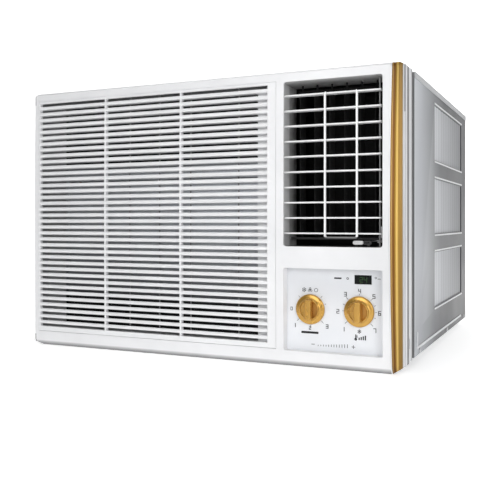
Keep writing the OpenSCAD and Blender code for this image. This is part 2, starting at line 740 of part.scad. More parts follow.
module bulkhead() color("silver") difference() {
    block([-313, bulk_y, pan_z + 4.3], [313, bulk_y + 1.5, casing_high - 5]);
    rod_y(shaft_x, bulk_y - 1, bulk_y + 3, shaft_z, 16);
    block([vent_x - 2, bulk_y - 1, vent_z - 1], [vent_x + 7, bulk_y + 3, vent_z + 19]);
}

// Radius of the blower's volute at an angle
function volute_r(a) = wheel_r + 12 + 52 * a / 300;
function volute(a0, a1, t) = [for (i = [0 : 40]) let (a = a0 + (a1 - a0) * i / 40)
    [(volute_r(a) + t) * cos(a + 60), (volute_r(a) + t) * sin(a + 60)]];

module blower_scroll() color("gainsboro") {
    difference() {
        block([-262, -198, 34], [110, -196, 408]);
        rod_y(shaft_x, -200, -190, shaft_z, 84);
    }
    block([109, -198, 180], [132, -196, 400]);
    // spiral wall from the front plate to the bulkhead
    translate([shaft_x, bulk_y - 0.3, shaft_z]) rotate([90, 0, 0]) linear_extrude(92)
        polygon(concat(volute(0, 250, 0), flip(volute(0, 250, 2))));
    // discharge duct to the outlet
    difference() {
        block([131.4, duct_rear + 0.2, out_low - 3.2], [292.4, bulk_y - 0.3, out_high + 3.2]);
        block([133.4, duct_rear - 1, out_low - 1.2], [290.4, bulk_y + 1, out_high + 1.2]);
        block([130, -190, 190], [140, bulk_y - 8, 380]);
    }
}

module blower_wheel() color("#383838") translate([shaft_x, 0, shaft_z]) rotate([-90, 0, 0]) {
    y0 = -186;
    difference() {
        union() {
            translate([0, 0, y0 + 66]) cylinder(h = 2, r = wheel_r);
            translate([0, 0, y0 + 30]) cylinder(h = 37, r = 14);
        }
        translate([0, 0, y0 + 29]) cylinder(h = 40, r = shaft_r + 0.03);
    }
    difference() {
        translate([0, 0, y0]) cylinder(h = 3, r = wheel_r);
        translate([0, 0, y0 - 1]) cylinder(h = 5, r = wheel_r - 16);
    }
    for (k = [0 : 29]) rotate([0, 0, 12 * k]) translate([wheel_r - 15, 0, y0 + 1]) rotate([0, 0, 28])
        cube([14, 1.2, 66]);
}

module fan_motor() color("#2a2a2a") difference() {
    union() {
        rod_y(shaft_x, -94, -4, shaft_z, 58);
        rod_y(shaft_x, -101, 4, shaft_z, 14);
        // saddle and legs down to the base pan
        for (y = [-80, -30]) {
            for (x = [shaft_x - 70, shaft_x + 64]) block([x, y, pan_z + 4.5], [x + 6, y + 12, shaft_z + 10]);
            block([shaft_x - 70, y, shaft_z - 8], [shaft_x + 70, y + 12, shaft_z - 5]);
            block([shaft_x - 80, y, pan_z + 3.2], [shaft_x + 80, y + 12, pan_z + 5]);
        }
    }
    rod_y(shaft_x, -110, 10, shaft_z, shaft_r + running);
}

module motor_shaft() color("silver") rod_y(shaft_x, -170, 96, shaft_z, shaft_r);

module condenser_fan() color("#383838") translate([shaft_x, 0, shaft_z]) {
    difference() {
        rod_y(0, 60, 92, 0, 34);
        rod_y(0, 50, 100, 0, shaft_r + 0.03);
    }
    for (k = [0 : 4]) rotate([0, 72 * k, 0]) translate([28, 76, 0]) rotate([-24, 0, 0]) rotate([90, 0, 0])
        translate([0, 0, -1]) linear_extrude(2) polygon([[0, -12], [58, -40], [fan_r - 34, -44],
            [fan_r - 30, -4], [fan_r - 34, 34], [58, 26], [0, 14]]);
    // slinger ring that lifts condensate off the pan
    rotate([-90, 0, 0]) translate([0, 0, 66]) rotate_extrude($fn = 96) translate([fan_r - 6, 0])
        square([6, 14]);
}

module fan_shroud() color("gainsboro") difference() {
    union() {
        block([-306, 122, pan_z + 4.2], [120, 123.5, casing_high - 6]);
        rod_y(shaft_x, 84, 123, shaft_z, fan_r + 12);
    }
    rod_y(shaft_x, 83, 130, shaft_z, fan_r + 10);
}

front_panel();
gold_trim();
inlet_grille();
filter_frame();
filter_mesh();
outlet_duct();
blade(1);  // blade_1
blade(2);  // blade_2
blade(3);  // blade_3
blade(4);  // blade_4
blade(5);  // blade_5
blade(6);  // blade_6
blade(7);  // blade_7
blade(8);  // blade_8
blade(9);  // blade_9
blade(10);  // blade_10
blade_link();
vane(1);  // vane_1
vane(2);  // vane_2
vane(3);  // vane_3
vane(4);  // vane_4
vane(5);  // vane_5
vane(6);  // vane_6
vane_link();
vent_lever();
vent_rod();
control_plate();
display_window();
knob(mode_x);  // mode_knob
spindle(mode_x);  // mode_spindle
knob(temp_x);  // temp_knob
spindle(temp_x);  // temp_spindle
color("ivory") control_case(mode_x, 34, 34, 24);  // rotary_switch
color("silver") control_case(temp_x, 40, 26, 18);  // thermostat
control_box();
circuit_board();
run_capacitor();
front_collar();
side_left();
side_right();
top_cover();
rear_grille();
base_pan();
feet();
cabinet_screws();
evaporator();
evaporator_tubes();
condenser();
condenser_tubes();
compressor();
compressor_mounts();
refrigerant_pipes();
capillary();
bulkhead();
blower_scroll();
blower_wheel();
fan_motor();
motor_shaft();
condenser_fan();
fan_shroud();
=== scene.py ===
import json
import math

import bmesh
import bpy
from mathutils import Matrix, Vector


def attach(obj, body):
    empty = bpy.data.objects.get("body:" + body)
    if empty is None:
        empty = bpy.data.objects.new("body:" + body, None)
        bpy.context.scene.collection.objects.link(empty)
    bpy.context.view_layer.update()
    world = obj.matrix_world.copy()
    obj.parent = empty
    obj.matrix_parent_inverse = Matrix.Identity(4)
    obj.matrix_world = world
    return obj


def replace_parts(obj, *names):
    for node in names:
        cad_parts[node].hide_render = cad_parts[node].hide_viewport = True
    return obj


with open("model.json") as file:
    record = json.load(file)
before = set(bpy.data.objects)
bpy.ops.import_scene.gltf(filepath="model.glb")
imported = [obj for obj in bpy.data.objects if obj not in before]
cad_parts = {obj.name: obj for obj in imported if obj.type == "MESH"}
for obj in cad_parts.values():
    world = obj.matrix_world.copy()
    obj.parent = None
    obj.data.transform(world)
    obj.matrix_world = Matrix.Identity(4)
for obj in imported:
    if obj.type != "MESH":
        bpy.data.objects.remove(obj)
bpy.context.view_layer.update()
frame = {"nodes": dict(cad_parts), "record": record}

NODES = frame["nodes"]
SLOTS = {s["node"]: s["material_slot"] for s in frame["record"]["subparts"]}
MM = 0.001

# Driving sizes of the frame, in metres
W, H, D = 0.640, 0.430, 0.574
CREST = -D / 2
CROWN = 0.002
TRIM_W, TRIM_BULGE, TRIM_EDGE = 0.0197, 0.0030, 0.0034
KNOB_Z = 0.0827
MODE_X, TEMP_X = 0.1784, 0.2517
PLATE_Y = -0.271

# Places on the frame that the paint follows
AHEAD = CREST - 0.003
CORNER_X = W / 2
SIDE_X = W / 2 - 0.002
COLLAR_FRONT, SHEET_FRONT, SHEET_REAR = -0.2450, -0.2160, 0.264
BANK_FRONT, BANK_REAR, LOUVRES = -0.058, 0.228, 12
OUTLET_LEFT = 0.1385


def front_y(z):
    """Where the crowned front face stands at height z."""
    return CREST + CROWN * ((z - H / 2) / (H / 2)) ** 2


# ---------------------------------------------------------------- materials

class Material:
    """A material under construction: its nodes, its links and its Principled shader."""

    def __init__(self, name):
        self.mat = bpy.data.materials.new(name)
        self.mat.use_nodes = True
        self.nodes = self.mat.node_tree.nodes
        self.links = self.mat.node_tree.links
        self.nodes.clear()
        out = self.nodes.new("ShaderNodeOutputMaterial")
        shader = self.nodes.new("ShaderNodeBsdfPrincipled")
        self.links.new(shader.outputs[0], out.inputs[0])
        self.inputs = shader.inputs

    def put(self, value, socket):
        """Links a node's output to a socket, or sets the socket to a constant."""
        if isinstance(value, (int, float)):
            socket.default_value = value
        elif isinstance(value, tuple):
            socket.default_value = (*value, 1)
        else:
            self.links.new(value, socket)

    def coords(self):
        return self.nodes.new("ShaderNodeTexCoord").outputs["Object"]

    def axis_values(self):
        """X, Y and Z of the surface point, which are the frame's own in metres."""
        separate = self.nodes.new("ShaderNodeSeparateXYZ")
        self.links.new(self.coords(), separate.inputs[0])
        return [separate.outputs[k] for k in range(3)]

    def noise(self, vector, scale, detail=3.0):
        n = self.nodes.new("ShaderNodeTexNoise")
        n.inputs["Scale"].default_value = scale
        n.inputs["Detail"].default_value = detail
        self.links.new(vector, n.inputs["Vector"])
        return n.outputs[0]

    def ramp(self, fac, stops):
        r = self.nodes.new("ShaderNodeValToRGB")
        while len(r.color_ramp.elements) < len(stops):
            r.color_ramp.elements.new(0.5)
        for e, (position, colour) in zip(r.color_ramp.elements, stops):
            e.position = position
            e.color = (*colour, 1)
        self.links.new(fac, r.inputs[0])
        return r.outputs[0]

    def spread(self, fac, low, high, start=0.3, end=0.7):
        """Maps start..end to low..high, and holds the ends."""
        m = self.nodes.new("ShaderNodeMapRange")
        for socket, value in (("From Min", start), ("From Max", end), ("To Min", low), ("To Max", high)):
            m.inputs[socket].default_value = value
        self.links.new(fac, m.inputs["Value"])
        return m.outputs[0]

    def along(self, value, start, end):
        """0 at start, 1 at end."""
        return self.spread(value, 0, 1, start, end)

    def bump(self, height, strength, distance):
        b = self.nodes.new("ShaderNodeBump")
        b.inputs["Strength"].default_value = strength
        b.inputs["Distance"].default_value = distance
        self.links.new(height, b.inputs["Height"])
        return b.outputs[0]

    def math(self, operation, a, b=0.0):
        m = self.nodes.new("ShaderNodeMath")
        m.operation = operation
        self.put(a, m.inputs[0])
        self.put(b, m.inputs[1])
        return m.outputs[0]

    def inside(self, *limits):
        """1 where every value is between its two limits, else 0. Each limit is (value, low, high)."""
        mask = None
        for value, low, high in limits:
            both = self.math("MULTIPLY", self.math("GREATER_THAN", value, low),
                             self.math("LESS_THAN", value, high))
            mask = both if mask is None else self.math("MULTIPLY", mask, both)
        return mask

    def mix(self, mask, a, b):
        """Colour a where the mask is 0, colour b where it is 1."""
        node = self.nodes.new("ShaderNodeMix")
        node.data_type = "RGBA"
        self.put(mask, node.inputs["Factor"])
        self.put(a, node.inputs["A"])
        self.put(b, node.inputs["B"])
        return node.outputs["Result"]

    def shaded(self, colour, shade):
        """Colour times a shade."""
        node = self.nodes.new("ShaderNodeMix")
        node.data_type = "RGBA"
        node.blend_type = "MULTIPLY"
        node.inputs["Factor"].default_value = 1
        self.put(colour, node.inputs["A"])
        self.put(shade, node.inputs["B"])
        return node.outputs["Result"]


MAT = {}


def surface(name, dark, light, rough=(0.35, 0.45), metal=0.0, mottling=14.0, grain=900.0, grain_depth=0.03,
            coat=0.0, edge_wear_and_highlight=None, spec=0.5, tint=None, glow=None):
    """A general finish: slow mottling in colour and gloss, a fine grain in relief, and lighter sharp edges,
    partly rubbed paint and partly a painted highlight on the bends.
    """
    m = Material(name)
    MAT[name] = m.mat
    vector = m.coords()
    slow = m.noise(vector, mottling, 4.0)
    colour = m.ramp(slow, [(0.3, dark), (0.7, light)])
    if edge_wear_and_highlight is not None:
        # Sharp edges are painted lighter: partly rubbed paint, partly a painted highlight on the bends.
        pointiness = m.nodes.new("ShaderNodeNewGeometry").outputs["Pointiness"]
        edge = m.ramp(pointiness, [(0.52, (0, 0, 0)), (0.58, (1, 1, 1))])
        worn_and_highlit = m.ramp(slow, [(0.3, edge_wear_and_highlight), (0.7, tuple(min(1, c * 1.15) for c in edge_wear_and_highlight))])
        colour = m.mix(edge, colour, worn_and_highlit)
    if tint is not None:
        colour = tint(m, colour)
    if glow is not None:
        m.put((1, 1, 1), m.inputs["Emission Color"])
        m.put(glow(m), m.inputs["Emission Strength"])
    m.put(colour, m.inputs["Base Color"])
    m.put(m.spread(slow, *rough), m.inputs["Roughness"])
    m.put(m.bump(m.noise(vector, grain, 2.0), grain_depth, 0.0004), m.inputs["Normal"])
    m.inputs["Metallic"].default_value = metal
    m.inputs["Coat Weight"].default_value = coat
    m.inputs["Specular IOR Level"].default_value = spec


def greys(stops, cool=1.0):
    """Grey stops for a colour ramp, a little blue unless cool is 0."""
    return [(position, (v, v * (1 + 0.01 * cool), v * (1 + 0.03 * cool))) for position, v in stops]


def side_tint(m, colour):
    """Side sheet with painted light and shade: darker towards its rear and foot, a painted highlight at its
    front bend, louvres painted pale as lit faces with painted shade between them, pale beads as a painted
    highlight, and the joggle in front painted dark as shade.
    """
    x, y, z = m.axis_values()
    out = m.math("ABSOLUTE", x)
    # Painted shade: the sheet darkens towards its rear and its foot, and its front bend carries a painted
    # highlight.
    rearward = m.along(y, SHEET_FRONT, SHEET_REAR)
    shade = m.ramp(rearward, greys([(0.0, 1.0), (0.03, 0.92), (0.10, 0.85), (0.17, 0.70), (0.27, 0.48),
                                    (0.33, 0.35), (0.44, 0.20), (0.57, 0.14), (1.0, 0.13)]))
    low = m.ramp(m.along(z, 0.0, H), greys([(0.12, 0.80), (0.38, 1.0)]))
    sheet = m.shaded(colour, m.shaded(shade, low))

    # Louvres painted lighter as lit faces, darkening towards the rear as painted shade, with painted shade in
    # the gaps between louvres.
    louvre_rear_shade = m.ramp(rearward, greys([(0.33, 0.74), (0.44, 0.68), (0.5, 0.58), (0.62, 0.53), (0.75, 0.43),
                                   (0.9, 0.35)]))
    pitch = (BANK_REAR - BANK_FRONT) / LOUVRES
    turn = m.math("FRACT", m.math("DIVIDE", m.math("SUBTRACT", y, BANK_FRONT), pitch))
    lines = m.ramp(turn, greys([(0.0, 0.24), (0.10, 0.40), (0.24, 0.88), (0.62, 0.98), (0.78, 1.0),
                                (0.90, 0.34), (1.0, 0.24)]))
    louvre = m.inside((out, SIDE_X - 0.0130, SIDE_X - 0.0013),
                      (y, BANK_FRONT - 0.0005, BANK_REAR + 0.0010))
    sheet = m.mix(louvre, sheet, m.shaded(louvre_rear_shade, lines))

    # The beads are painted pale as a painted highlight.
    bead = m.inside((out, SIDE_X + 0.0003, SIDE_X + 0.0120))
    sheet = m.mix(bead, sheet, (0.80, 0.81, 0.82))
    # The joggle in front is painted dark as shade.
    joggle = m.inside((y, AHEAD, SHEET_FRONT + 0.0003))
    joggle_shade = m.ramp(m.along(out, SIDE_X - 0.0035, SIDE_X - 0.0005), greys([(0.3, 0.09), (0.55, 0.25)]))
    return m.mix(joggle, sheet, joggle_shade)


def collar_tint(m, colour):
    """The collar's inset sleeve is painted dark as the shade of the gap in front of it, and its rear edge is
    painted grey as shade.
    """
    x, y, z = m.axis_values()
    out = m.math("ABSOLUTE", x)
    # Painted shade of the gap between the front panel and the collar.
    front_gap_shade = m.inside((y, AHEAD, COLLAR_FRONT + 0.0004), (out, -1, SIDE_X - 0.0020))
    colour = m.mix(front_gap_shade, colour, (0.06, 0.06, 0.062))
    # The collar's rear edge is painted grey as shade.
    rear = m.inside((y, COLLAR_FRONT + 0.0062, COLLAR_FRONT + 0.0250), (out, SIDE_X - 0.0030, SIDE_X + 0.0120))
    return m.mix(rear, colour, (0.40, 0.405, 0.41))


# Painted shade: grey lines round the side of the front panel, as shade in its grooves and steps; where each
# starts and ends behind the crest, and its grey
PANEL_SHADE_LINES = [(0.0017, 0.0067, 0.31), (0.0132, 0.0194, 0.34), (0.0193, 0.0257, 0.16)]


def panel_tint(m, colour):
    """Painted shade: grey lines round the side, the shelf beside the gold strip, the flange behind the grille,
    and a darker foot and right margin.
    """
    x, y, z = m.axis_values()
    out = m.math("ABSOLUTE", x)
    # Painted shade in the grooves and steps round the side.
    for front, rear, grey in PANEL_SHADE_LINES:
        line = m.inside((out, CORNER_X - 0.0020, CORNER_X + 0.0010), (y, CREST + front, CREST + rear))
        colour = m.mix(line, colour, (grey, grey, grey * 1.02))
    # The shelf beside the gold strip is painted grey as its shadow.
    ledge = m.inside((x, CORNER_X - 0.0045, CORNER_X + 0.0010), (y, CREST + 0.0012, CREST + 0.0040))
    colour = m.mix(ledge, colour, (0.60, 0.60, 0.61))
    # The flange behind the grille is painted grey as shade.
    flange = m.inside((x, -0.3130, 0.1180), (y, CREST + 0.0115, CREST + 0.0270), (z, 0.0285, 0.4180))
    colour = m.mix(flange, colour, (0.34, 0.34, 0.345))
    # Painted shade: darker towards the foot, and on the right margin above the foot.
    foot = m.ramp(m.along(z, 0.0, 0.06), greys([(0.0, 0.22), (0.05, 0.42), (0.10, 0.72), (0.13, 1.0)], 0.5))
    right = m.ramp(m.along(x, 0.20, 0.29), greys([(0.0, 1.0), (1.0, 0.895)], 0))
    low = m.ramp(m.along(z, 0.04, 0.12), greys([(0.0, 1.0), (1.0, 0.0)]))
    return m.shaded(m.shaded(colour, foot), m.mix(low, right, (1.0, 1.0, 1.0)))


def plate_tint(m, colour):
    """The control plate is shaded under the recess's upper edge."""
    z = m.axis_values()[2]
    shade = m.ramp(m.along(z, 0.030, 0.137), greys([(0.0, 1.0), (0.45, 0.93), (1.0, 0.80)]))
    return m.shaded(colour, shade)


def grille_tint(m, colour):
    """The recessed ribs and the slats' rear edges, deep behind the slats' faces, are painted grey as shade."""
    x, y, z = m.axis_values()
    rear = m.inside((y, CREST + 0.0081, CREST + 0.0170), (x, -0.3100, 0.0960))
    # Painted shade on the recessed ribs and the rear edges.
    return m.mix(rear, colour, (0.24, 0.24, 0.245))


def knob_tint(centre):
    """Dial floor shaded on its right, grip face shaded on its left."""
    dial_radius, half_grip = 0.0134, 0.0058

    def tint(m, colour):
        x, y, z = m.axis_values()
        dx = m.math("SUBTRACT", x, centre)
        dz = m.math("SUBTRACT", z, KNOB_Z)
        radius = m.math("SQRT", m.math("ADD", m.math("MULTIPLY", dx, dx), m.math("MULTIPLY", dz, dz)))
        floor = m.inside((radius, -1, dial_radius), (y, PLATE_Y - 0.0090, PLATE_Y + 0.0110))
        floor_shade = m.ramp(m.along(dx, -0.013, 0.013),
                             [(0.0, (0.86, 0.82, 0.75)), (0.45, (0.92, 0.90, 0.85)),
                              (0.62, (0.62, 0.48, 0.32)), (1.0, (0.74, 0.62, 0.48))])
        colour = m.mix(floor, colour, m.shaded(colour, floor_shade))
        face = m.inside((y, AHEAD, CREST + 0.0025))
        face_shade = m.ramp(m.along(dx, -half_grip, half_grip),
                            [(0.0, (0.66, 0.56, 0.42)), (0.35, (0.92, 0.88, 0.80)), (1.0, (1.0, 1.0, 1.0))])
        return m.mix(face, colour, m.shaded(colour, face_shade))
    return tint


def link_tint(m, colour):
    """The lowest part of the blade link, under the blades, is painted grey as shade."""
    z = m.axis_values()[2]
    return m.mix(m.inside((z, 0.10, 0.1890)), colour, (0.20, 0.20, 0.20))


# Colour of the gold strip across its width, with painted reflections: dark foot, a painted highlight on the
# rim, dark flank, a painted highlight on the bead, flat outer part
GOLD_PAINTED_REFLECTIONS = [(0.0, (0.36, 0.20, 0.045)), (0.15, (0.36, 0.20, 0.05)), (0.20, (0.50, 0.29, 0.085)),
              (0.235, (0.48, 0.27, 0.075)), (0.27, (0.20, 0.080, 0.009)), (0.33, (0.205, 0.080, 0.009)),
              (0.38, (0.26, 0.115, 0.015)), (0.44, (0.42, 0.22, 0.035)), (0.505, (0.68, 0.42, 0.09)),
              (0.575, (0.97, 0.66, 0.20)), (0.645, (0.72, 0.46, 0.11)), (0.71, (0.36, 0.20, 0.036)),
              (0.85, (0.35, 0.20, 0.042)), (0.93, (0.32, 0.185, 0.045)), (1.0, (0.40, 0.28, 0.12))]


def strip_tint(m, colour):
    """White lip and gold bands of painted reflection, which follow the strip's bowed left edge and are painted
    a little darker towards its ends as shade.
    """
    x, y, z = m.axis_values()
    t = m.math("DIVIDE", m.math("SUBTRACT", z, H / 2), H / 2)
    bow = m.math("MULTIPLY", m.math("SUBTRACT", 1.0, m.math("MULTIPLY", t, t)), TRIM_BULGE)
    width = m.math("ADD", bow, TRIM_W - TRIM_EDGE)
    inward = m.math("SUBTRACT", W / 2 - TRIM_EDGE, x)
    across = m.math("SUBTRACT", 1.0, m.math("DIVIDE", inward, width))
    bands = m.ramp(across, GOLD_PAINTED_REFLECTIONS)
    # Painted shade: the painted reflections dim towards the strip's ends.
    highlight_end_shade = m.ramp(m.along(z, 0.0, H), greys([(0.0, 0.45), (0.03, 0.72), (0.2, 0.86), (0.5, 1.0), (0.8, 0.88),
                                             (0.95, 0.70), (1.0, 0.60)]))
    lip = m.inside((across, -1.0, 0.10))
    return m.mix(lip, m.shaded(bands, highlight_end_shade), (0.80, 0.805, 0.82))


# White mouldings and the gold pieces of the front
GLOSSY = {"rough": (0.28, 0.38), "grain": 1400, "grain_depth": 0.02, "coat": 0.15}
BLADES = {"rough": (0.28, 0.36), "grain": 1400, "grain_depth": 0.02}
GILT = {"rough": (0.24, 0.32), "metal": 0.7, "mottling": 25, "grain": 1300, "grain_depth": 0.006, "coat": 0.3}
surface("white_plastic", (0.82, 0.825, 0.84), (0.87, 0.875, 0.885), **GLOSSY)
surface("panel_white", (0.83, 0.83, 0.835), (0.88, 0.88, 0.885), **GLOSSY, tint=panel_tint)
surface("grille_white", (0.84, 0.845, 0.86), (0.89, 0.895, 0.905), **GLOSSY, tint=grille_tint)
surface("blade_white", (0.90, 0.905, 0.91), (0.94, 0.945, 0.95), **BLADES)
surface("link_white", (0.90, 0.905, 0.91), (0.94, 0.945, 0.95), **BLADES, tint=link_tint)
surface("gold", (0.46, 0.25, 0.045), (0.56, 0.31, 0.065), (0.26, 0.34), metal=0.75, mottling=25, grain=1300,
        grain_depth=0.006, coat=0.3)
surface("mode_gold", (0.56, 0.31, 0.06), (0.64, 0.37, 0.08), **GILT, tint=knob_tint(MODE_X))
surface("temp_gold", (0.56, 0.31, 0.06), (0.64, 0.37, 0.08), **GILT, tint=knob_tint(TEMP_X))
surface("gold_bands", (0.5, 0.3, 0.06), (0.6, 0.4, 0.08), (0.30, 0.38), metal=0.25, mottling=20, grain=1300,
        grain_depth=0.006, coat=0.04, spec=0.3, tint=strip_tint)
surface("panel_plastic", (0.86, 0.872, 0.89), (0.90, 0.91, 0.925), (0.3, 0.42), grain=1500, grain_depth=0.02,
        tint=plate_tint)
surface("display", (0.004, 0.006, 0.005), (0.008, 0.012, 0.010), (0.10, 0.18), coat=0.05, spec=0.2)
surface("ink", (0.008, 0.009, 0.011), (0.016, 0.017, 0.020), (0.5, 0.6), grain=3000)

# Painted casing
surface("white_paint", (0.72, 0.73, 0.75), (0.78, 0.79, 0.81), (0.3, 0.42), grain=700, grain_depth=0.05)
surface("collar_paint", (0.74, 0.75, 0.77), (0.80, 0.81, 0.83), (0.3, 0.42), grain=700, grain_depth=0.05,
        tint=collar_tint)
surface("casing_paint", (0.42, 0.43, 0.445), (0.46, 0.47, 0.485), (0.36, 0.48), grain=650, grain_depth=0.06,
        mottling=9, edge_wear_and_highlight=(0.52, 0.53, 0.54))
# Side sheets: a lighter copy of the casing paint, which side_tint darkens with painted shade and marks with
# painted highlights.
surface("side_paint", (0.52, 0.53, 0.545), (0.56, 0.57, 0.585), (0.36, 0.48), grain=650, grain_depth=0.06,
        mottling=9, edge_wear_and_highlight=(0.62, 0.63, 0.64), tint=side_tint)
surface("pan_paint", (0.30, 0.31, 0.32), (0.40, 0.41, 0.42), (0.4, 0.6), metal=0.4, mottling=25)
surface("black_paint", (0.010, 0.010, 0.011), (0.02, 0.02, 0.021), (0.3, 0.45))

# Inside
surface("black_plastic", (0.008, 0.008, 0.009), (0.016, 0.016, 0.017), (0.45, 0.6))
surface("grey_plastic", (0.30, 0.31, 0.32), (0.36, 0.37, 0.38), (0.45, 0.6))
surface("ivory_plastic", (0.62, 0.58, 0.47), (0.70, 0.66, 0.55), (0.4, 0.5))
surface("board", (0.02, 0.12, 0.05), (0.03, 0.16, 0.07), (0.3, 0.5))
surface("steel", (0.50, 0.50, 0.51), (0.62, 0.62, 0.63), (0.25, 0.4), metal=1.0, mottling=60)
surface("can", (0.60, 0.60, 0.61), (0.72, 0.72, 0.73), (0.2, 0.32), metal=1.0)
surface("fin", (0.48, 0.49, 0.50), (0.62, 0.63, 0.64), (0.3, 0.45), metal=0.9, mottling=35)
surface("copper", (0.45, 0.20, 0.10), (0.62, 0.30, 0.16), (0.25, 0.42), metal=1.0, mottling=45)
surface("rubber", (0.012, 0.012, 0.012), (0.025, 0.025, 0.025), (0.7, 0.85), grain=500, grain_depth=0.15)
surface("foam", (0.50, 0.50, 0.48), (0.60, 0.60, 0.58), (0.8, 0.9), grain=300, grain_depth=0.5)
# Near black, painted on the vanes, their link, the blower scroll and the bulkhead as the shade deep inside the
# outlet.
surface("duct_lining", (0.013, 0.013, 0.013), (0.018, 0.018, 0.018), (0.85, 0.95), grain=400, grain_depth=0.3,
        spec=0.08)


def plain(v):
    return (v, v, v)


def liner_material():
    """Outlet liner: grey on its left wall, painted darker with depth as shade, and painted near black inside as
    shade, with a grey knob track and rib.
    """
    m = Material("outlet_liner")
    MAT["outlet_liner"] = m.mat
    x, y, z = m.axis_values()
    # Painted shade: the left wall darkens with depth into the outlet.
    left_wall_shade = m.ramp(m.along(y, CREST, -0.222),
                       [(at, plain(v)) for at, v in ((0.0, 0.75), (0.50, 0.66), (0.58, 0.36), (0.74, 0.34),
                                                     (0.78, 0.42), (1.0, 0.30))])
    inner = (x, OUTLET_LEFT, 0.4)
    # Inside the outlet the liner is painted near black as shade.
    colour = m.mix(m.inside(inner), left_wall_shade, plain(0.055))
    colour = m.mix(m.inside(inner, (z, 0.4040, 0.4300)), colour, plain(0.48))
    track = m.inside((z, 0.1768, 0.1840), (x, 0.2400, 0.2690), (y, -0.2650, -0.2615))
    colour = m.mix(track, colour, (0.085, 0.085, 0.088))
    colour = m.mix(m.inside((x, 0.2775, 0.2800)), colour, plain(0.40))
    m.put(colour, m.inputs["Base Color"])
    vector = m.coords()
    m.put(m.spread(m.noise(vector, 30, 4.0), 0.42, 0.6), m.inputs["Roughness"])
    m.put(m.bump(m.noise(vector, 900), 0.05, 0.0004), m.inputs["Normal"])
    m.inputs["Specular IOR Level"].default_value = 0.15


def filter_material():
    """Woven filter net with painted light and shade: black in its top pane, painted pale lower down where light
    falls through the grille, darker again at the foot, and darker towards the left.
    """
    m = Material("filter_net")
    MAT["filter_net"] = m.mat
    x, y, z = m.axis_values()
    threads = []
    for direction in ("X", "Z"):
        wave = m.nodes.new("ShaderNodeTexWave")
        wave.bands_direction = direction
        wave.inputs["Scale"].default_value = 130
        m.put(m.coords(), wave.inputs["Vector"])
        threads.append(wave.outputs[0])
    net = m.math("MAXIMUM", *threads)
    # Painted light and shade by height: black at the top, pale in the middle, dark at the foot.
    painted_light_by_height = m.ramp(m.along(z, 0.0, H), greys([(0.0, 0.02), (0.19, 0.03), (0.23, 0.34), (0.45, 0.80),
                                             (0.60, 0.97), (0.690, 0.97), (0.700, 0.012)]))
    # Painted shade: darker towards the left.
    across = m.ramp(m.along(x, -0.26, 0.10), greys([(0.0, 0.50), (0.2, 0.56), (0.6, 0.80), (1.0, 1.0)]))
    weave = m.ramp(net, greys([(0.3, 0.75), (0.9, 1.0)]))
    m.put(m.shaded(m.shaded(painted_light_by_height, across), weave), m.inputs["Base Color"])
    m.put(m.bump(net, 0.4, 0.0003), m.inputs["Normal"])
    m.inputs["Roughness"].default_value = 0.8
    m.inputs["Specular IOR Level"].default_value = 0.2


liner_material()
filter_material()


# ---------------------------------------------------------------- carried-over CAD nodes

# Bevel widths of the nodes that aren't rounded by the usual one, in metres
BEVEL = 0.0003
BEVELS = {"front_panel": 0.0009, "outlet_duct": 0.0004, "front_collar": 0.0006, "top_cover": 0.0004,
          "base_pan": 0.0004, "feet": 0.001, "blade_link": 0.0006}
# Angle under which faces are merged, in degrees; the crowned grille keeps its own
FLAT, FLAT_GRILLE = 0.6, 0.05
# Finishes that differ from the slot of the record
VANES = [f"vane_{i}" for i in range(1, 7)]
BLADE_NODES = [f"blade_{i}" for i in range(1, 11)]
FINISHES = {"duct_lining": ["blower_scroll", "bulkhead", "vane_link"] + VANES,
            "blade_white": ["vent_lever"] + BLADE_NODES, "link_white": ["blade_link"],
            "outlet_liner": ["outlet_duct"], "panel_white": ["front_panel"], "collar_paint": ["front_collar"],
            "side_paint": ["side_right", "side_left"], "grille_white": ["inlet_grille"],
            "filter_net": ["filter_mesh", "filter_frame"]}


def finish_cad(node, bevel_width, flat_angle):
    """Cleans a carried-over mesh and rounds its edges with modifiers."""
    weld = node.modifiers.new("weld", "WELD")
    weld.merge_threshold = 1e-6
    flat = node.modifiers.new("flat", "DECIMATE")
    flat.decimate_type = "DISSOLVE"
    flat.angle_limit = math.radians(flat_angle)
    bevel = node.modifiers.new("bevel", "BEVEL")
    bevel.width = bevel_width
    bevel.segments = 2
    bevel.limit_method = "ANGLE"
    bevel.angle_limit = math.radians(32)
    bevel.harden_normals = False
    for p in node.data.polygons:
        p.use_smooth = True
    normals = node.modifiers.new("normals", "WEIGHTED_NORMAL")
    normals.keep_sharp = True


def paint(node, key):
    node.data.materials.clear()
    node.data.materials.append(MAT[key])


for node_name, node in NODES.items():
    finish_cad(node, BEVELS.get(node_name, BEVEL), FLAT_GRILLE if node_name == "inlet_grille" else FLAT)
    paint(node, SLOTS[node_name])
for key, names in FINISHES.items():
    for node_name in names:
        paint(NODES[node_name], key)


# ---------------------------------------------------------------- new pieces

def make_piece(name, verts, faces, key, body, smooth=True):
    """A new mesh piece in the frame, painted and riding on a body."""
    me = bpy.data.meshes.new(name)
    me.from_pydata([tuple(v) for v in verts], [], faces)
    me.update()
    o = bpy.data.objects.new(name, me)
    bpy.context.scene.collection.objects.link(o)
    for p in me.polygons:
        p.use_smooth = smooth
    o.data.materials.append(MAT[key])
    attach(o, body)
    return o


def grid_faces(columns, rows, closed=False):
    """Quads over a grid stored column by column."""
    last = columns if closed else columns - 1
    faces = []
    for c in range(last):
        here, there = c * rows, ((c + 1) % columns) * rows
        faces += [(here + r, there + r, there + r + 1, here + r + 1) for r in range(rows - 1)]
    return faces


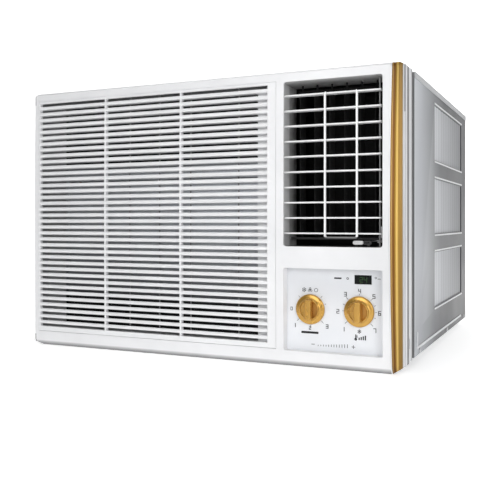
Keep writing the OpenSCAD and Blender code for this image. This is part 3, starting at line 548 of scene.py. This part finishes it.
# Section of the gold strip from its left edge (0) to its right edge (1): depth behind the face in mm
STRIP = [(0.0, 1.7), (0.01, 0.45), (0.03, 0.15), (0.085, 0.12), (0.10, 0.45), (0.12, 0.6), (0.15, 0.5),
         (0.18, 0.25), (0.225, 0.25), (0.25, 0.7), (0.29, 1.1), (0.36, 1.12), (0.42, 0.9), (0.49, 0.55),
         (0.55, 0.25), (0.60, 0.08), (0.635, 0.02), (0.67, 0.08), (0.70, 0.3), (0.73, 0.5), (0.77, 0.62),
         (0.87, 0.7), (0.93, 0.78), (0.965, 0.95), (0.985, 1.3), (0.997, 1.6)]


# Cut corners of the strip, each as its height and its width in metres
LOW_CUT, HIGH_CUT = (0.012, 0.018), (0.004, 0.008)


def corner_cut(x, cut):
    """How much of the strip's end is cut away at x."""
    height, width = cut
    return max(0.0, height * (x - (W / 2 - width)) / width)


def gold_strip():
    """Convex corner strip with a raised bead, following the crowned face and its cut corners."""
    rows = 49
    verts = []
    columns = [(f, d, 0.0) for f, d in STRIP] + [(1.0, 1.75, 0.0), (1.0, 1.85, 1.0)]
    for f, depth, back in columns:
        x_end = W / 2 - TRIM_EDGE - (TRIM_W - TRIM_EDGE) * (1 - f)
        low = corner_cut(x_end, LOW_CUT)
        high = H - corner_cut(x_end, HIGH_CUT)
        for k in range(rows):
            u = k / (rows - 1)
            z = low + (high - low) * (0.5 - 0.5 * math.cos(math.pi * u))
            t = (z - H / 2) / (H / 2)
            x = x_end - TRIM_BULGE * (1 - t * t) * (1 - f)
            y = front_y(z) + depth * MM
            # the ends turn back under the undercut foot and over the top edge
            y += 0.004 * max(0.0, 1 - z / 0.0085) + 0.002 * max(0.0, (z - H + 0.003) / 0.003)
            # the last column follows the seat, which deepens towards the top
            y += back * (0.0001 + 0.0024 * max(0.0, t) ** 2)
            verts.append((x, y, z))
    o = make_piece("gold_strip", verts, grid_faces(len(columns), rows), "gold_bands", "chassis")
    thick = o.modifiers.new("thick", "SOLIDIFY")
    thick.thickness = 0.0011
    thick.offset = -1
    return o


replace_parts(gold_strip(), "gold_trim")

# Section of a control knob: radius and height above the plate in mm
KNOB = [(21.2, 0.0), (21.8, 0.5), (22.0, 1.2), (22.0, 2.4), (21.75, 3.2), (21.1, 3.95), (20.2, 4.4),
        (18.6, 4.75), (17.0, 5.2), (15.9, 5.8), (15.3, 6.5), (15.0, 7.4), (14.7, 8.0), (14.2, 8.35),
        (13.7, 8.3), (13.35, 7.8), (13.1, 7.1), (12.6, 6.7), (9.0, 6.75), (4.0, 6.9), (0.01, 6.95)]
# The knob's grip bar: half width, half length and height in mm, from its foot to its top
GRIP = [(6.5, 15.2, 6.2), (6.0, 15.1, 7.2), (5.6, 14.9, 10.0), (5.2, 14.6, 13.4), (5.0, 14.4, 14.6),
        (4.5, 13.9, 15.3), (3.7, 13.1, 15.6)]


def rounded_rectangle(half_w, half_l, radius, per_corner=7):
    """Points round a rectangle with arcs for corners."""
    points = []
    for sx, sz, start in ((1, 1, 0), (-1, 1, 90), (-1, -1, 180), (1, -1, 270)):
        for k in range(per_corner):
            a = math.radians(start + 90 * k / (per_corner - 1))
            points.append((sx * (half_w - radius) + radius * math.cos(a),
                           sz * (half_l - radius) + radius * math.sin(a)))
    return points


def control_knob(name, x, body, key):
    """Flanged round knob with an inner rim, a sunken dial and a raised grip bar."""
    around = 96
    gap = 0.0004

    def at(u, v, h):
        return (x + u * MM, PLATE_Y - gap - h * MM, KNOB_Z + v * MM)

    verts = []
    for k in range(around):
        a = 2 * math.pi * k / around
        verts += [at(rad * math.cos(a), rad * math.sin(a), h) for rad, h in KNOB]
    faces = grid_faces(around, len(KNOB), closed=True)
    loops = [rounded_rectangle(w, l, min(2.4, w * 0.45)) for w, l, h in GRIP]
    start, n = len(verts), len(loops[0])
    for i in range(n):
        verts += [at(*loop[i], h) for loop, (w, l, h) in zip(loops, GRIP)]
    faces += [tuple(start + v for v in f) for f in grid_faces(n, len(GRIP), closed=True)]
    faces.append(tuple(start + i * len(GRIP) + len(GRIP) - 1 for i in range(n)))
    o = make_piece(name, verts, faces, key, body)
    soft = o.modifiers.new("normals", "WEIGHTED_NORMAL")
    soft.keep_sharp = True
    return o


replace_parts(control_knob("mode_dial", MODE_X, "mode_control", "mode_gold"), "mode_knob")
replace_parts(control_knob("temp_dial", TEMP_X, "temp_control", "temp_gold"), "temp_knob")


# ---------------------------------------------------------------- printed marks

# Strokes of a seven-segment numeral, in a cell 0.6 wide and 1 high
SEGMENTS = {"a": ((0, 1), (0.6, 1)), "b": ((0.6, 1), (0.6, 0.5)), "c": ((0.6, 0.5), (0.6, 0)),
            "d": ((0, 0), (0.6, 0)), "e": ((0, 0), (0, 0.5)), "f": ((0, 0.5), (0, 1)),
            "g": ((0, 0.5), (0.6, 0.5))}
NUMERALS = {"0": "abcdef", "1": "bc", "2": "abged", "3": "abgcd", "4": "fgbc", "5": "afgcd", "6": "afgedc",
            "7": "abc"}


def polar(centre, radius, angle):
    """The point at a radius and an angle in degrees from a centre."""
    a = math.radians(angle)
    return (centre[0] + radius * math.cos(a), centre[1] + radius * math.sin(a))


class Print:
    """Flat strokes laid on an upright face, in mm."""

    def __init__(self, y):
        self.y, self.verts, self.faces = y, [], []

    def line(self, a, b, width):
        a, b = Vector(a), Vector(b)
        along = (b - a).normalized() * width / 2
        side = Vector((-along.y, along.x))
        n = len(self.verts)
        for p in (a - along - side, b + along - side, b + along + side, a - along + side):
            self.verts.append((p.x * MM, self.y, p.y * MM))
        self.faces.append((n, n + 1, n + 2, n + 3))

    def ring(self, centre, radius, width, sides=20):
        points = [polar(centre, radius, 360 * k / sides) for k in range(sides + 1)]
        for p, q in zip(points, points[1:]):
            self.line(p, q, width)

    def numeral(self, char, centre, height, width):
        for seg in NUMERALS[char]:
            self.line(*[(centre[0] + (px - 0.3) * height, centre[1] + (pz - 0.5) * height)
                        for px, pz in SEGMENTS[seg]], width)

    def tick(self, centre, angle, inner, outer, width):
        self.line(polar(centre, inner, angle), polar(centre, outer, angle), width)

    def snowflake(self, centre, radius, width):
        for a in (30, 90, 150):
            self.tick(centre, a, -radius, radius, width)
            for side in (-1, 1):
                tip = polar(centre, side * 0.6 * radius, a)
                for turn in (-45, 45):
                    self.tick(tip, a + turn + (180 if side < 0 else 0), 0, 0.35 * radius, width)

    def fan(self, centre, radius, width):
        self.ring(centre, 0.18 * radius, width, 10)
        for a in (90, 210, 330):
            self.ring(polar(centre, 0.58 * radius, a), 0.36 * radius, width, 14)

    def thermometer(self, centre, height, width):
        x, z = centre
        self.line((x, z - 0.2 * height), (x, z + 0.5 * height), width * 1.6)
        self.ring((x, z - 0.32 * height), 0.16 * height, width * 1.4, 12)
        for k in range(3):
            mark_z = z + (0.05 + 0.16 * k) * height
            self.line((x + 1.3, mark_z), (x + 2.3, mark_z), width * 0.7)

    def build(self, name, key):
        return make_piece(name, self.verts, self.faces, key, "chassis", smooth=False)


# Where the ticks round a knob start, in mm from its centre
TICK_START = 23.4
# Ticks round each knob: angle in degrees and length in mm
MODE_TICKS = [(135, 3.0), (48, 3.0), (-140, 4.2), (-45, 4.2), (-90, 1.6), (20, 1.6)]
TEMP_TICKS = [(90, 1.8), (135, 3.8), (45, 4.6), (158, 2.8), (22, 2.2), (-140, 4.2), (-45, 4.2), (180, 1.4),
              (0, 1.4), (-20, 1.4)]
# Numerals round each knob: sign, place, height and stroke in mm
MODE_NUMERALS = [("0", (148.6, 82.2), 4.4, 0.8), ("1", (153.0, 58.0), 5.0, 1.1), ("2", (177.4, 55.2), 4.4, 0.9),
                 ("3", (203.6, 58.8), 5.0, 1.1)]
TEMP_PLACES = [(227.6, 56.4), (219.8, 81.6), (231.0, 106.6), (251.9, 111.8), (272.8, 105.0), (280.8, 81.6),
               (274.0, 57.0)]


def mode_print(ink):
    """Marks of the mode knob: ticks, numerals, three pictograms above it and a rising bar below it."""
    for angle, length in MODE_TICKS:
        ink.tick((MODE_X / MM, KNOB_Z / MM), angle, TICK_START, TICK_START + length, 0.6)
    for numeral in MODE_NUMERALS:
        ink.numeral(*numeral)
    row_z = 110.8
    ink.snowflake((168.4, row_z), 3.2, 0.6)
    ink.fan((177.6, row_z), 3.4, 0.65)
    ink.ring((186.8, row_z), 2.6, 0.6, 16)
    start, bar_z = 165.6, 48.6
    for length in (2.5, 3.5, 4.5, 5.5):
        ink.line((start, bar_z), (start + length, bar_z), 3.2)
        start += length + 2.4


def temp_print(ink):
    """Marks of the temperature knob: ticks, numerals, a snowflake, a thermometer and rising bars."""
    for angle, length in TEMP_TICKS:
        ink.tick((TEMP_X / MM, KNOB_Z / MM), angle, TICK_START, TICK_START + length, 0.6)
    for char, place in zip("1234567", TEMP_PLACES):
        ink.numeral(char, place, 5.4, 1.0)
    ink.snowflake((251.6, 54.4), 2.6, 0.6)
    ink.thermometer((246.4, 45.6), 7.2, 1.0)
    for k in range(4):
        ink.line((251.4 + 3.0 * k, 43.4), (251.4 + 3.0 * k, 44.8 + 1.1 * k), 1.9)


def scale_print(ink):
    """A rising scale between a minus and a plus along the foot of the plate."""
    scale_z = 31.8
    ink.line((180.0, scale_z), (184.2, scale_z), 0.8)
    for k in range(12):
        ink.line((190.0 + 4 * k, 30.0), (190.0 + 4 * k, 31.0 + 0.32 * k), 0.8)
    ink.line((240.8, scale_z), (245.0, scale_z), 0.8)
    ink.line((242.9, scale_z - 2.1), (242.9, scale_z + 2.1), 0.8)


def window_print(ink):
    """Small marks on both sides of the display."""
    for k in range(3):
        ink.line((215.4 + 3.4 * k, 129.2), (217.4 + 3.4 * k, 129.2), 2.2)
    ink.ring((234.4, 129.2), 1.4, 0.7, 14)
    ink.ring((275.4, 131.2), 1.2, 0.6, 12)
    ink.line((278.4, 129.8), (282.0, 129.8), 0.8)


def dial_print():
    """Everything printed on the control plate: marks, numerals and pictograms, and no words."""
    ink = Print(PLATE_Y - 0.00012)
    for marks in (mode_print, temp_print, scale_print, window_print):
        marks(ink)
    return ink.build("dial_print", "ink")


def display_digits():
    """Two dim green digits behind the smoked window."""
    m = Material("display_green")
    MAT["display_green"] = m.mat
    glow = m.noise(m.coords(), 400, 2.0)
    green = m.ramp(glow, [(0.3, (0.020, 0.075, 0.012)), (0.7, (0.030, 0.105, 0.018))])
    m.put(green, m.inputs["Emission Color"])
    m.put((0.004, 0.010, 0.004), m.inputs["Base Color"])
    m.inputs["Emission Strength"].default_value = 0.6
    m.inputs["Roughness"].default_value = 0.3
    lit = Print(PLATE_Y - 0.00068)
    for char, x in (("2", 254.6), ("4", 260.6)):
        lit.numeral(char, (x, 128.0), 6.6, 0.8)
    return lit.build("display_digits", "display_green")


dial_print()
display_digits()


# ---------------------------------------------------------------- stage, light and camera

def floor_glow(m):
    """The floor glows behind the object and dims in front of it."""
    return m.spread(m.axis_values()[1], 0.24, 0.8, -1.0, 1.0)


def backdrop_glow(m):
    """The wall glows where the camera sees it and dims towards the right."""
    return m.spread(m.axis_values()[0], 1.0, 0.2, 0.3, 1.6)


def add_stage():
    """A pale floor, and behind it a bright wall that starts with a soft cove."""
    near, cove_y, radius, wall_top, half_width = -4.0, 2.2, 1.2, 5.0, 7
    arc = [math.pi * k / 24 for k in range(13)]
    cove = [(cove_y + radius * math.sin(a), radius - radius * math.cos(a)) for a in arc]
    profiles = {"floor": ([(near, 0.0), (cove_y, 0.0)], floor_glow),
                "backdrop": (cove + [(cove_y + radius, wall_top)], backdrop_glow)}
    for name, (profile, glow) in profiles.items():
        me = bpy.data.meshes.new(name)
        bm = bmesh.new()
        rows = [[bm.verts.new((x, y, z)) for x in (-half_width, half_width)] for y, z in profile]
        for p, q in zip(rows, rows[1:]):
            bm.faces.new((p[0], p[1], q[1], q[0]))
        bm.to_mesh(me)
        bm.free()
        for f in me.polygons:
            f.use_smooth = True
        o = bpy.data.objects.new(name, me)
        bpy.context.scene.collection.objects.link(o)
        surface("studio_" + name, (0.86, 0.86, 0.86), (0.88, 0.88, 0.88), (0.6, 0.7), grain=80,
                grain_depth=0.01, glow=glow)
        o.data.materials.append(MAT["studio_" + name])


def area_light(name, at, aim, side, power):
    """A square lamp at one point, turned towards another."""
    data = bpy.data.lights.new(name, "AREA")
    data.shape = "RECTANGLE"
    data.size = side
    data.size_y = side
    data.energy = power
    o = bpy.data.objects.new(name, data)
    o.location = at
    o.rotation_euler = (Vector(aim) - Vector(at)).to_track_quat("-Z", "Y").to_euler()
    bpy.context.scene.collection.objects.link(o)


def add_world():
    world = bpy.data.worlds.new("studio")
    world.use_nodes = True
    background = world.node_tree.nodes["Background"]
    background.inputs[0].default_value = (1, 1, 1, 1)
    background.inputs[1].default_value = 0.12
    bpy.context.scene.world = world
    bpy.context.scene.view_settings.view_transform = "Standard"


def add_camera():
    """The photo's view: level, from the right, with the lens shifted down a little."""
    data = bpy.data.cameras.new("camera")
    data.sensor_width = 36
    data.lens = 52.7
    data.shift_y = -0.056
    data.clip_start = 0.05
    o = bpy.data.objects.new("camera", data)
    o.location = (0.542, -1.281, 0.210)
    o.rotation_euler = (math.radians(90), 0, math.asin(0.4153))
    bpy.context.scene.collection.objects.link(o)
    bpy.context.scene.camera = o


add_stage()
area_light("key", (1.05, -1.15, 0.45), (0.20, -0.28, 0.22), 0.5, 4.6)
area_light("front", (0.10, -1.30, 0.55), (0.05, -0.28, 0.22), 0.6, 3.7)
area_light("top", (0.0, -0.2, 2.6), (0, -0.2, 0.2), 3.2, 34)
add_world()
add_camera()
